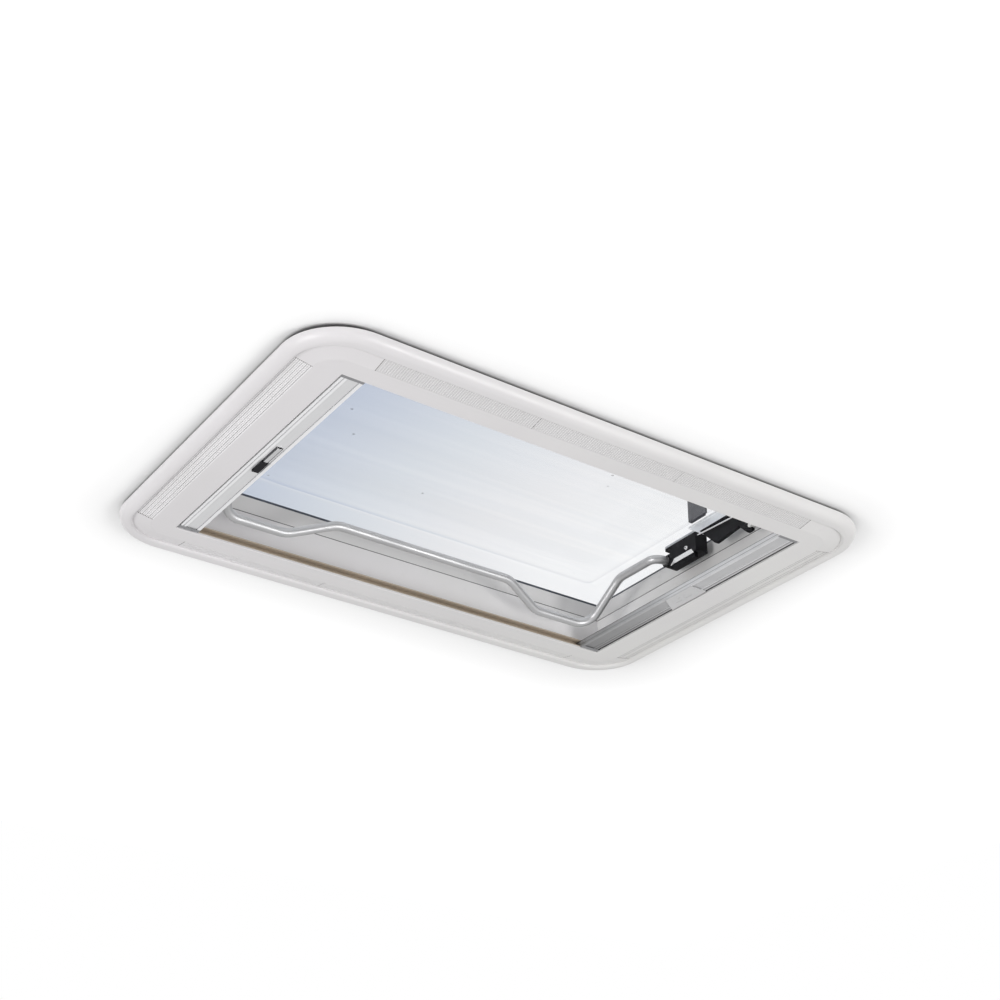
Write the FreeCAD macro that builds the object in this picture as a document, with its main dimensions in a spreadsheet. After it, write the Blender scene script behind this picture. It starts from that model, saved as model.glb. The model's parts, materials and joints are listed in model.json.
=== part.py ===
import FreeCAD, Part
import math
import os
import re
import Sketcher
from FreeCAD import Vector

# Caravan rooflight for a rectangular roof cut-out, seen from inside as it hangs in the ceiling.
# Frame: origin at the middle of the opening on the trim's underside, +X along the long side,
# +Y towards the side that opens, +Z up through the roof. All sizes in millimetres.

SIZES = {
    # clear opening, which most of the rest follows
    "opening_length": 644,
    "opening_width": 412,
    # ceiling trim
    "trim_border": 70,
    "trim_corner": 72,
    "trim_plate": 3,
    "trim_lip": 7,
    "trim_nose": 11.5,
    "trim_edge": 1.2,
    "ceiling_level": 12,
    # band of vent strips and corner caps in the trim's underside
    "band_from_end": 32,
    "band_from_side": 26,
    "band_wide": 22,
    "band_corner": 52,
    "band_depth": 6,
    "band_shell": 2,
    "band_rise": 4,
    "band_shoulder": 4,
    "strip_short": 24,
    "strip_seam": 0.6,
    "strip_joint": 100,
    "joint_wide": 0.7,
    "joint_deep": 0.8,
    "rib_notch": 0.6,
    # shaft between trim and roof frame
    "guide_depth": 10,
    "guide_level": 13,
    "guide_sheet": 1.2,
    "shaft_wall": 3,
    "lining_top": 56,
    "lining_joint": 1.2,
    # roof frame
    "neck_from_end": 14,
    "neck_from_side": 30,
    "neck_corner": 30,
    "neck_wall": 3,
    "neck_top": 79,
    "flange_wide": 54,
    "flange_corner": 70,
    "flange_level": 46,
    "flange_thick": 3,
    "seal_thick": 2,
    "seal_wide": 20,
    "seal_inset": 15,
    "gasket_high": 5,
    "gasket_inset": 3,
    # clamps that hold the frame under the ceiling
    "clamp_wide": 22,
    "clamp_reach": 22,
    "clamp_thick": 2.5,
    # blind and flyscreen
    "rail_wide": 29,
    "rail_gap": 0.5,
    "rail_bottom": 2.5,
    "rail_top": 11.5,
    "rail_skin": 1.5,
    "rail_lead": 3,
    "rail_lead_high": 3.5,
    "rail_rib": 3.2,
    "rail_groove": 0.8,
    "rail_groove_high": 1.4,
    "rail_lip": 4,
    "rail_flat_high": 0.7,
    "tongue_long": 9,
    "tongue_play": 0.4,
    "latch_from_lip": 3,
    "latch_wide": 8.5,
    "latch_grip_from": 3,
    "latch_grip_to": 29,
    "latch_bar_from": -33,
    "latch_bar_inset": 2.2,
    "latch_thick": 2.6,
    "latch_bar_thick": 1.6,
    "catch_from": -33,
    "catch_to": 35,
    "catch_short": 18,
    "catch_thick": 1.8,
    "catch_slot_from": 4,
    "catch_slot_long": 12,
    "catch_slot_wide": 8,
    "thumb_radius": 5,
    "thumb_high": 0.6,
    # lid
    "seat_gap": 0.3,
    "lid_overhang": 26,
    "lid_corner": 55,
    "lid_skirt": 16,
    "lid_shoulder": 12,
    "lid_crown": 40,
    "lid_slope": 40,
    "lid_crown_round": 20,
    "lid_shoulder_round": 8,
    "pane_thick": 4,
    # hinges
    "hinge_out": 9,
    "hinge_rise": 6,
    "hinge_span": 230,
    "barrel_radius": 6,
    "barrel_long": 40,
    "pin_radius": 3,
    "pin_play": 0.1,
    "ear_thick": 8,
    "ear_play": 0.5,
    # rails and brackets on the lid, measured in from the shaft's short wall
    "lid_rail_from_wall": 10,
    "lid_rail_wide": 33,
    "lid_rail_near": 150,
    "lid_rail_far": 22,
    "lid_rail_sheet": 3,
    "bracket_from_wall": 48,
    "bracket_sheet": 3,
    "bracket_far": 46,
    "bracket_near": 80,
    "bracket_foot": 6,
    "bracket_foot_high": 9,
    # bow blocks
    "block_from_wall": 32,
    "block_wide": 20,
    "block_near": 40,
    "block_far": 12,
    "block_high": 27,
    "prong_long": 10,
    "prong_thick": 4.3,
    "boss_radius": 8.2,
    "jaw_near": 35,
    "jaw_far": 11,
    "jaw_high": 7.5,
    "jaw_inset": 1,
    "jaw_wide": 6,
    "strip_metal": 1.5,
    "strip_high": 7,
    "strip_low": 3,
    "strip_slant": 8,
    # levers and hooks beside the blocks
    "lever_from_wall": 28,
    "lever_wide": 5,
    "lever_far": 44,
    "lever_nose": 74,
    "lever_nose_drop": 31,
    "lever_nose_round": 5,
    "lever_near": 131,
    "lever_near_drop": 24.5,
    "lever_root": 128,
    "hook_wide": 5,
    "hook_far": 119,
    "hook_throat": 131,
    "hook_bend": 125,
    "hook_bend_drop": 32,
    "hook_heel": 134,
    "hook_heel_drop": 41,
    "hook_tip": 143,
    "hook_tip_drop": 40.5,
    "hook_tip_high": 3.5,
    "hook_inner": 135,
    "hook_inner_drop": 35,
    # bow
    "bow_radius": 6,
    "bow_play": 0.1,
    "bow_pass": 6,
    "bow_seat": 17,
    "bow_pivot_y": 21,
    "bow_pivot_z": 62.5,
    "bow_shoulder_y": 98,
    "bow_shoulder_z": 63.5,
    "bow_low_y": 171,
    "bow_low_z": 18,
    "bow_elbow": 191,
    "bow_grip_y": 148,
    "bow_grip_z": 38,
    "bow_grip": 132,
    "bow_end_bend": 14,
    "bow_shoulder_bend": 28,
    "bow_corner_bend": 24,
    "bow_grip_bend": 36,
}

# Sizes that follow from those above
FOLLOWS = {
    "trim_length": "opening_length + 2 * trim_border",
    "trim_width": "opening_width + 2 * trim_border",
    "band_in_x": "opening_length / 2 + band_from_end",
    "band_in_y": "opening_width / 2 + band_from_side",
    "band_out_x": "band_in_x + band_wide",
    "band_out_y": "band_in_y + band_wide",
    "corner_x": "band_out_x - band_corner",
    "corner_y": "band_out_y - band_corner",
    "strip_end": "opening_length / 2 - strip_short",
    "shaft_length": "opening_length + 2 * guide_depth",
    "shaft_width": "opening_width + 2 * guide_depth",
    "neck_length": "shaft_length + 2 * neck_from_end",
    "neck_width": "shaft_width + 2 * neck_from_side",
    "flange_length": "neck_length + 2 * flange_wide",
    "flange_width": "neck_width + 2 * flange_wide",
    "lid_length": "neck_length + 2 * lid_overhang",
    "lid_width": "neck_width + 2 * lid_overhang",
    "pane_level": "neck_top + gasket_high + seat_gap",
    "lid_bottom": "pane_level - lid_skirt",
    "shoulder_level": "pane_level + lid_shoulder",
    "crown_level": "pane_level + lid_crown",
    "hinge_y": "-lid_width / 2 - hinge_out",
    "hinge_level": "lid_bottom + hinge_rise",
    "lid_rail_outer": "shaft_length / 2 - lid_rail_from_wall",
    "lid_rail_inner": "lid_rail_outer - lid_rail_wide",
    "bracket_inner": "shaft_length / 2 - bracket_from_wall",
    "block_top": "pane_level - lid_rail_sheet",
    "block_bottom": "block_top - block_high",
    "block_inner": "shaft_length / 2 - block_from_wall",
    "lever_inner": "shaft_length / 2 - lever_from_wall",
    "bow_arm": "opening_length / 2 - rail_wide - bow_pass - bow_radius",
    "bow_end": "block_inner + bow_seat",
}

# Ribs across a short vent strip, a corner's turn in degrees, and how near two places count as one
RIBS = 10
QUARTER_TURN = 90
TOUCH = 0.01

doc = FreeCAD.newDocument("CaravanRooflight")
sheet = doc.addObject("Spreadsheet::Sheet", "dims")
cells = {**SIZES, **{alias: f"={text}" for alias, text in FOLLOWS.items()}}
for row, (alias, content) in enumerate(cells.items(), 1):
    sheet.set(f"A{row}", alias)
    sheet.setAlias(f"B{row}", alias)
    sheet.set(f"B{row}", str(content))
doc.recompute()

nodes = []


def linked(text):
    """Turn plain size names into references to the sheet's cells."""
    return re.sub(r"\b[a-z_]+\b", lambda word: cell_name(word.group()), text)


def cell_name(word):
    return f"dims.{word}" if word in cells else word


def size(text):
    """Present value of an expression of size names."""
    value = sheet.evalExpression(linked(text))
    return float(getattr(value, "Value", value))


def keep(feature, label):
    """List a finished sub-part under the name of its file."""
    feature.Label = label
    nodes.append(feature)
    return feature


def new_body(label):
    return keep(doc.addObject("PartDesign::Body", label), label)


def new_sketch(body, role, level="0"):
    """Empty sketch on one of the body's own origin planes, moved along its normal."""
    sketch = body.newObject("Sketcher::SketchObject", body.Name + "_sketch")
    plane = next(item for item in body.Origin.OriginFeatures if item.Role == role)
    sketch.AttachmentSupport = [(plane, "")]
    sketch.MapMode = "FlatFace"
    sketch.setExpression("AttachmentOffset.Base.z", linked(level))
    return sketch


def hold(sketch, kind, geometry, point, text):
    """Fix one coordinate of a sketch point to an expression."""
    index = sketch.addConstraint(Sketcher.Constraint(kind, geometry, point, size(text)))
    sketch.setExpression(f"Constraints[{index}]", linked(text))


def corner_loop(sketch, corners):
    """Closed straight-sided loop through corners given as pairs of expressions."""
    spots = [Vector(size(x), size(y), 0) for x, y in corners]
    first = sketch.GeometryCount
    count = len(spots)
    for start, end in zip(spots, spots[1:] + spots[:1]):
        sketch.addGeometry(Part.LineSegment(start, end), False)
    for index in range(count):
        after = (index + 1) % count
        sketch.addConstraint(Sketcher.Constraint("Coincident", first + index, 2, first + after, 1))
    for index, (x, y) in enumerate(corners):
        hold(sketch, "DistanceX", first + index, 1, x)
        hold(sketch, "DistanceY", first + index, 1, y)


def box_loop(sketch, x_from, x_to, y_from, y_to):
    corner_loop(sketch, [(x_from, y_from), (x_to, y_from), (x_to, y_to), (x_from, y_to)])


def centred_loop(sketch, length, width):
    box_loop(sketch, f"-({length}) / 2", f"({length}) / 2", f"-({width}) / 2", f"({width}) / 2")


def round_loop(sketch, length, width, radius):
    """Centred rectangle with round corners: four arcs held by centre and radius, four tangent sides."""
    across = f"({length}) / 2 - ({radius})"
    along = f"({width}) / 2 - ({radius})"
    signs = [(1, 1), (-1, 1), (-1, -1), (1, -1)]
    reach = size(radius)
    first = sketch.GeometryCount
    arcs = []
    for quarter, (sx, sy) in enumerate(signs):
        centre = Vector(sx * size(across), sy * size(along), 0)
        circle = Part.Circle(centre, Vector(0, 0, 1), reach)
        arc = Part.ArcOfCircle(circle, quarter * math.pi / 2, (quarter + 1) * math.pi / 2)
        arcs.append(arc)
        sketch.addGeometry(arc, False)
    for arc, after in zip(arcs, arcs[1:] + arcs[:1]):
        sketch.addGeometry(Part.LineSegment(arc.EndPoint, after.StartPoint), False)
    for quarter in range(4):
        side = first + 4 + quarter
        sketch.addConstraint(Sketcher.Constraint("Tangent", first + quarter, 2, side, 1))
        sketch.addConstraint(Sketcher.Constraint("Tangent", side, 2, first + (quarter + 1) % 4, 1))
    for quarter, (sx, sy) in enumerate(signs):
        hold(sketch, "DistanceX", first + quarter, 3, f"{sx} * ({across})")
        hold(sketch, "DistanceY", first + quarter, 3, f"{sy} * ({along})")
        index = sketch.addConstraint(Sketcher.Constraint("Radius", first + quarter, reach))
        sketch.setExpression(f"Constraints[{index}]", linked(radius))


def circle_loop(sketch, x, y, radius):
    sketch.addGeometry(Part.Circle(Vector(size(x), size(y), 0), Vector(0, 0, 1), size(radius)), False)
    geometry = sketch.GeometryCount - 1
    hold(sketch, "DistanceX", geometry, 3, x)
    hold(sketch, "DistanceY", geometry, 3, y)
    index = sketch.addConstraint(Sketcher.Constraint("Radius", geometry, size(radius)))
    sketch.setExpression(f"Constraints[{index}]", linked(radius))


def pad(body, sketch, length, both_ways=False):
    feature = body.newObject("PartDesign::Pad", body.Name + "_pad")
    feature.Profile = sketch
    feature.setExpression("Length", linked(length))
    feature.Midplane = both_ways
    sketch.Visibility = False
    doc.recompute()
    return feature


def pocket(body, sketch, depth, upward=False):
    """Cut a sketch into the body, against its normal or, where upward, along it."""
    before = body.Shape.Volume
    feature = body.newObject("PartDesign::Pocket", body.Name + "_pocket")
    feature.Profile = sketch
    feature.setExpression("Length", linked(depth))
    feature.Reversed = upward
    doc.recompute()
    if body.Shape.Volume > before - TOUCH:
        raise RuntimeError(f"{body.Label}: the pocket cuts nothing")
    return feature


def fillet(body, radius, wanted):
    """Round the edges of the body so far that the test accepts."""
    tip = body.Tip
    names = [f"Edge{number}" for number, edge in enumerate(tip.Shape.Edges, 1) if wanted(edge)]
    feature = body.newObject("PartDesign::Fillet", body.Name + "_fillet")
    feature.Base = (tip, names)
    feature.setExpression("Radius", linked(radius))
    doc.recompute()
    return feature


def slope(body, inward, downward, wanted):
    """Slope off the edges of the body so far that the test accepts, by two distances."""
    tip = body.Tip
    names = [f"Edge{number}" for number, edge in enumerate(tip.Shape.Edges, 1) if wanted(edge)]
    feature = body.newObject("PartDesign::Chamfer", body.Name + "_slope")
    feature.Base = (tip, names)
    feature.ChamferType = "Two distances"
    feature.setExpression("Size", linked(downward))
    feature.setExpression("Size2", linked(inward))
    doc.recompute()
    return feature


def block(name, x_from, x_to, y_from, y_to, z_from, z_to):
    """Plain box between expressions."""
    solid = doc.addObject("Part::Box", name)
    spans = (("Length", "x", x_from, x_to), ("Width", "y", y_from, y_to), ("Height", "z", z_from, z_to))
    for side, axis, low, high in spans:
        solid.setExpression(side, linked(f"({high}) - ({low})"))
        solid.setExpression(f"Placement.Base.{axis}", linked(low))
    return solid


def mirrored(source, label, normal=(1, 0, 0)):
    """The same piece on the other side of the middle, across the given direction."""
    copy = doc.addObject("Part::Mirroring", label)
    copy.Source = source
    copy.Base = Vector(0, 0, 0)
    copy.Normal = Vector(*normal)
    return keep(copy, label)


def at_level(level):
    """Test for edges that lie wholly at one height."""
    height = size(level)
    return lambda edge: abs(edge.BoundBox.ZMin - height) + abs(edge.BoundBox.ZMax - height) < TOUCH


def band_loop(sketch, spare="0"):
    """Outline of the band in plan, grown or shrunk on both sides by a spare amount."""
    round_loop(sketch, f"2 * band_out_x + 2 * ({spare})", f"2 * band_out_y + 2 * ({spare})",
               f"band_corner + ({spare})")
    round_loop(sketch, f"2 * band_in_x - 2 * ({spare})", f"2 * band_in_y - 2 * ({spare})",
               f"band_corner - band_wide - ({spare})")


# Ceiling trim: a plate with a rolled rim, open above, with the band's groove and its shell
trim = new_body("ceiling_trim")
sketch = new_sketch(trim, "XY_Plane")
round_loop(sketch, "trim_length", "trim_width", "trim_corner")
centred_loop(sketch, "opening_length", "opening_width")
pad(trim, sketch, "ceiling_level")


def beyond_opening(edge):
    middle = edge.BoundBox.Center
    past_end = abs(middle.x) > size("opening_length") / 2 + TOUCH
    return past_end or abs(middle.y) > size("opening_width") / 2 + TOUCH


def on_band_rim(edge):
    """Lower edges between the groove and the rolled rim."""
    middle = edge.BoundBox.Center
    if hasattr(edge.Curve, "Radius"):
        return at_level("0")(edge) and abs(edge.Curve.Radius - size("band_corner")) < TOUCH
    aside = min(abs(abs(middle.x) - size("band_out_x")), abs(abs(middle.y) - size("band_out_y")))
    return at_level("0")(edge) and aside < TOUCH


fillet(trim, "trim_nose", lambda edge: at_level("0")(edge) and beyond_opening(edge))
fillet(trim, "trim_edge", lambda edge: at_level("0")(edge) and not beyond_opening(edge))
sketch = new_sketch(trim, "XY_Plane", "ceiling_level")
round_loop(sketch, "trim_length - 2 * trim_lip", "trim_width - 2 * trim_lip", "trim_corner - trim_lip")
pocket(trim, sketch, "ceiling_level - trim_plate")
sketch = new_sketch(trim, "XY_Plane", "trim_plate")
band_loop(sketch, "band_shell")
pad(trim, sketch, "band_depth + band_shell - trim_plate")
sketch = new_sketch(trim, "XY_Plane")
band_loop(sketch)
pocket(trim, sketch, "band_depth", True)
fillet(trim, "band_shoulder", on_band_rim)


def strip_loop(sketch, inner):
    """Section of a strip: its underside slopes up from the trim's face and ends above the rim."""
    outer = f"{inner} + band_wide"
    corner_loop(sketch, [(inner, "0"), (outer, "band_rise"), (outer, "band_depth"), (inner, "band_depth")])


# Long vent strips, each in three lengths with a narrow joint between them
far_strip = new_body("vent_strip_far")
sketch = new_sketch(far_strip, "YZ_Plane")
strip_loop(sketch, "band_in_y")
pad(far_strip, sketch, "2 * (strip_end - strip_seam)", True)
for side in ("-1", "1"):
    sketch = new_sketch(far_strip, "YZ_Plane", f"{side} * strip_joint + joint_wide / 2")
    corner_loop(sketch, [
        ("band_in_y", "-joint_deep"), ("band_out_y", "-joint_deep"),
        ("band_out_y", "band_rise + joint_deep"), ("band_in_y", "joint_deep"),
    ])
    pocket(far_strip, sketch, "joint_wide")
mirrored(far_strip, "vent_strip_near", (0, 1, 0))

# Short vent strips with ribs along their length
right_strip = new_body("vent_strip_right")
sketch = new_sketch(right_strip, "XZ_Plane")
outline = [("band_out_x", "band_depth"), ("band_in_x", "band_depth")]
for rib in range(RIBS):
    for share, rise in ((0, "0"), (0.5, "0"), (0.5, "rib_notch"), (1, "rib_notch")):
        part = (rib + share) / RIBS
        outline.append((f"band_in_x + {part} * band_wide", f"{part} * band_rise + {rise}"))
corner_loop(sketch, outline)
pad(right_strip, sketch, "2 * (corner_y - strip_seam)", True)
mirrored(right_strip, "vent_strip_left")

# Corner caps: a quarter turn of the strip's section, and a straight length along the long side
far_right_cap = new_body("corner_cap_far_right")
sketch = new_sketch(far_right_cap, "XZ_Plane", "-corner_y")
sketch.setExpression("AttachmentOffset.Base.x", linked("corner_x"))
strip_loop(sketch, "band_corner - band_wide")
turned = far_right_cap.newObject("PartDesign::Revolution", "corner_cap_turn")
turned.Profile = sketch
turned.ReferenceAxis = (sketch, ["V_Axis"])
turned.Angle = QUARTER_TURN
sketch = new_sketch(far_right_cap, "YZ_Plane", "strip_end")
strip_loop(sketch, "band_in_y")
pad(far_right_cap, sketch, "corner_x - strip_end")
mirrored(far_right_cap, "corner_cap_far_left")
near_right_cap = mirrored(far_right_cap, "corner_cap_near_right", (0, 1, 0))
mirrored(near_right_cap, "corner_cap_near_left")

# Shaft lining: four walls on the guide channels, its short walls standing on the trim
lining = new_body("shaft_lining")
sketch = new_sketch(lining, "XY_Plane", "guide_level")
centred_loop(sketch, "shaft_length + 2 * shaft_wall", "shaft_width + 2 * shaft_wall")
centred_loop(sketch, "shaft_length", "shaft_width")
pad(lining, sketch, "lining_top - guide_level")
sketch = new_sketch(lining, "XY_Plane", "trim_plate")
for x_from, x_to in (
    ("-shaft_length / 2 - shaft_wall", "-shaft_length / 2"),
    ("shaft_length / 2", "shaft_length / 2 + shaft_wall"),
):
    box_loop(sketch, x_from, x_to, "-shaft_width / 2", "shaft_width / 2")
pad(lining, sketch, "guide_level - trim_plate")

# Roof frame: a hollow neck, open below, with the flange that lies on the roof
roof_frame = new_body("roof_frame")
sketch = new_sketch(roof_frame, "XY_Plane", "ceiling_level")
round_loop(sketch, "neck_length", "neck_width", "neck_corner")
centred_loop(sketch, "shaft_length", "shaft_width")
pad(roof_frame, sketch, "neck_top - ceiling_level")
sketch = new_sketch(roof_frame, "XY_Plane", "flange_level")
round_loop(sketch, "flange_length", "flange_width", "flange_corner")
round_loop(sketch, "neck_length - neck_wall", "neck_width - neck_wall", "neck_corner - neck_wall / 2")
pad(roof_frame, sketch, "flange_thick")
sketch = new_sketch(roof_frame, "XY_Plane", "ceiling_level")
round_loop(sketch, "neck_length - 2 * neck_wall", "neck_width - 2 * neck_wall", "neck_corner - neck_wall")
pocket(roof_frame, sketch, "lining_top - ceiling_level", True)
sketch = new_sketch(roof_frame, "XY_Plane", "ceiling_level")
round_loop(sketch, "neck_length - 2 * neck_wall", "neck_width - 2 * neck_wall", "neck_corner - neck_wall")
centred_loop(sketch, "shaft_length + 2 * shaft_wall", "shaft_width + 2 * shaft_wall")
pocket(roof_frame, sketch, "neck_top - neck_wall - ceiling_level", True)
sketch = new_sketch(roof_frame, "XY_Plane", "lining_top")
centred_loop(sketch, "shaft_length + 2 * lining_joint", "shaft_width + 2 * lining_joint")
pocket(roof_frame, sketch, "lining_joint", True)

# Roof seal under the flange, and the lid's gasket on the neck
seal = new_body("roof_seal")
sketch = new_sketch(seal, "XY_Plane", "flange_level - seal_thick")
seal_outer = ("flange_length - 2 * seal_inset", "flange_width - 2 * seal_inset", "flange_corner - seal_inset")
round_loop(sketch, *seal_outer)
round_loop(sketch, *(f"{text} - {share} * seal_wide" for text, share in zip(seal_outer, (2, 2, 1))))
pad(seal, sketch, "seal_thick")
gasket = new_body("lid_gasket")
sketch = new_sketch(gasket, "XY_Plane", "neck_top")
round_loop(
    sketch, "neck_length - 2 * gasket_inset", "neck_width - 2 * gasket_inset", "neck_corner - gasket_inset",
)
centred_loop(sketch, "shaft_length + 2 * gasket_inset", "shaft_width + 2 * gasket_inset")
pad(gasket, sketch, "gasket_high")

# Clamps under the neck's edge, two on each short side and three on each long side
clamps = new_body("roof_clamps")
sketch = new_sketch(clamps, "XY_Plane", "ceiling_level - clamp_thick")
inner_x, outer_x = "neck_length / 2 - 2 * neck_wall", "neck_length / 2 + clamp_reach"
inner_y, outer_y = "neck_width / 2 - 2 * neck_wall", "neck_width / 2 + clamp_reach"
for share in (-1, 1):
    middle = f"{share} * neck_width / 4"
    span = (f"{middle} - clamp_wide / 2", f"{middle} + clamp_wide / 2")
    box_loop(sketch, inner_x, outer_x, *span)
    box_loop(sketch, f"-({outer_x})", f"-({inner_x})", *span)
for share in (-1, 0, 1):
    middle = f"{share} * neck_length / 3"
    span = (f"{middle} - clamp_wide / 2", f"{middle} + clamp_wide / 2")
    box_loop(sketch, *span, inner_y, outer_y)
    box_loop(sketch, *span, f"-({outer_y})", f"-({inner_y})")
pad(clamps, sketch, "clamp_thick")

# Guide channels for blind and flyscreen along the long sides, open towards the shaft
for name, sign in (("near", "-1"), ("far", "1")):
    channel = new_body(f"guide_channel_{name}")
    sketch = new_sketch(channel, "YZ_Plane")
    mouth = f"{sign} * opening_width / 2"
    web = f"{sign} * shaft_width / 2"
    back = f"{sign} * (shaft_width / 2 + shaft_wall)"
    floor = "trim_plate + guide_sheet"
    roof = "guide_level - guide_sheet"
    corner_loop(sketch, [
        (mouth, "trim_plate"), (back, "trim_plate"), (back, "guide_level"), (mouth, "guide_level"),
        (mouth, roof), (web, roof), (web, floor), (mouth, floor),
    ])
    pad(channel, sketch, "shaft_length - 2 * rail_gap", True)


def from_end(sign, text):
    """Place at a distance in from the opening's short edge on the given side."""
    return f"{sign} * (opening_length / 2 - ({text}))"


# Pull rails of the blind (left) and the flyscreen (right), parked, with tongues in the guides
for name, sign in (("blind_rail", "-1"), ("screen_rail", "1")):
    rail = new_body(name)
    sketch = new_sketch(rail, "XZ_Plane")
    lead_top = "rail_bottom + rail_lead_high"
    groove_top = "rail_bottom + rail_groove_high"
    flat = "rail_bottom + rail_flat_high"
    second = "rail_lead + rail_rib + rail_groove"
    flat_from = f"{second} + rail_rib"
    flat_to = "rail_wide - rail_lip - rail_groove"
    corner_loop(sketch, [(from_end(sign, x), z) for x, z in (
        ("rail_gap", "rail_top"), ("rail_gap", lead_top), ("rail_lead", lead_top),
        ("rail_lead", "rail_bottom"), ("rail_lead + rail_rib", "rail_bottom"),
        ("rail_lead + rail_rib", groove_top), (second, groove_top), (second, "rail_bottom"),
        (flat_from, "rail_bottom"), (flat_from, flat), (flat_to, flat), (flat_to, groove_top),
        (f"{flat_to} + rail_groove", groove_top),
        (f"{flat_to} + rail_groove", "rail_bottom"), ("rail_wide", "rail_bottom"), ("rail_wide", "rail_top"),
    )])
    corner_loop(sketch, [(from_end(sign, x), z) for x, z in (
        ("rail_lead + rail_skin", lead_top), (f"{flat_to} - rail_skin", lead_top),
        (f"{flat_to} - rail_skin", "rail_top - rail_skin"), ("rail_lead + rail_skin", "rail_top - rail_skin"),
    )])
    pad(rail, sketch, "opening_width - 2 * rail_gap", True)
    tongue_level = "trim_plate + guide_sheet + tongue_play"
    for end in ("-1", "1"):
        sketch = new_sketch(rail, "XY_Plane", tongue_level)
        root = f"{end} * (opening_width / 2 - 4 * rail_gap)"
        tip = f"{end} * (opening_width / 2 + tongue_long)"
        box_loop(sketch, from_end(sign, "rail_gap"), from_end(sign, "rail_wide"), root, tip)
        pad(rail, sketch, f"guide_level - guide_sheet - tongue_play - ({tongue_level})")

# Finger latch on the blind's rail: a grip and the bar that it slides on
latch = new_body("blind_latch")
flat = "rail_bottom + rail_flat_high"
inside = "-(opening_length / 2 - rail_wide + rail_lip + latch_from_lip)"
outside = f"{inside} - latch_wide"
sketch = new_sketch(latch, "XY_Plane", f"{flat} - latch_thick")
box_loop(sketch, outside, inside, "latch_grip_from", "latch_grip_to")
pad(latch, sketch, "latch_thick")
sketch = new_sketch(latch, "XY_Plane", f"{flat} - latch_bar_thick")
box_loop(sketch, f"{outside} + latch_bar_inset", f"{inside} - latch_bar_inset", "latch_bar_from",
         "latch_grip_from")
pad(latch, sketch, "latch_bar_thick")

# Catch on the flyscreen's rail: a plate cut off at a slant, with two slots and a thumb stud
catch = new_body("screen_catch")
inside = "(opening_length / 2 - rail_wide + rail_gap)"
outside = "(opening_length / 2 - rail_lead)"
sketch = new_sketch(catch, "XY_Plane", "rail_bottom - catch_thick")
corner_loop(sketch, [
    (inside, "catch_from"), (outside, "catch_from"), (outside, "catch_to"), (inside, "catch_short"),
])
pad(catch, sketch, "catch_thick")
sketch = new_sketch(catch, "XY_Plane", "rail_bottom - catch_thick")
middle = f"({inside} + {outside}) / 2"
for low, high in (
    ("-catch_slot_from - catch_slot_long", "-catch_slot_from - rail_groove"),
    ("catch_slot_from + rail_groove", "catch_slot_from + catch_slot_long"),
):
    box_loop(sketch, f"{middle} - catch_slot_wide / 2", f"{middle} + catch_slot_wide / 2", low, high)
pocket(catch, sketch, "catch_thick", True)
sketch = new_sketch(catch, "XY_Plane", "rail_bottom - catch_thick - thumb_high")
circle_loop(sketch, middle, "0", "thumb_radius - rail_groove")
pad(catch, sketch, "thumb_high")

# Folded blind and flyscreen between rail and short wall
for name, x_from, x_to in (
    ("blind_pleats", "-shaft_length / 2 + rail_gap", "-opening_length / 2"),
    ("screen_pleats", "opening_length / 2", "shaft_length / 2 - rail_gap"),
):
    pack = block(
        name, x_from, x_to, "-opening_width / 2 + rail_gap", "opening_width / 2 - rail_gap",
        "trim_plate", "rail_top",
    )
    keep(pack, name)

# Lid: outer dome with a skirt and sloped sides, hollow below, and the flat inner pane
outer = new_body("outer_pane")
sketch = new_sketch(outer, "XY_Plane", "lid_bottom")
round_loop(sketch, "lid_length", "lid_width", "lid_corner")
pad(outer, sketch, "crown_level - lid_bottom")
sketch = new_sketch(outer, "XY_Plane", "lid_bottom")
round_loop(sketch, "lid_length - 2 * pane_thick", "lid_width - 2 * pane_thick", "lid_corner - pane_thick")
pocket(outer, sketch, "crown_level - pane_thick - lid_bottom", True)
slope_high = "lid_crown - lid_shoulder"
slope(outer, "lid_slope", f"{slope_high} - pane_thick / 2", at_level("crown_level - pane_thick"))
slope(outer, "lid_slope", slope_high, at_level("crown_level"))
fillet(outer, "lid_crown_round", at_level("crown_level"))
fillet(outer, "lid_shoulder_round", at_level("shoulder_level"))
inner = new_body("inner_pane")
sketch = new_sketch(inner, "XY_Plane", "pane_level")
inset = "pane_thick + seat_gap"
round_loop(sketch, f"lid_length - 2 * ({inset})", f"lid_width - 2 * ({inset})", f"lid_corner - ({inset})")
pad(inner, sketch, "pane_thick")

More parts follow.
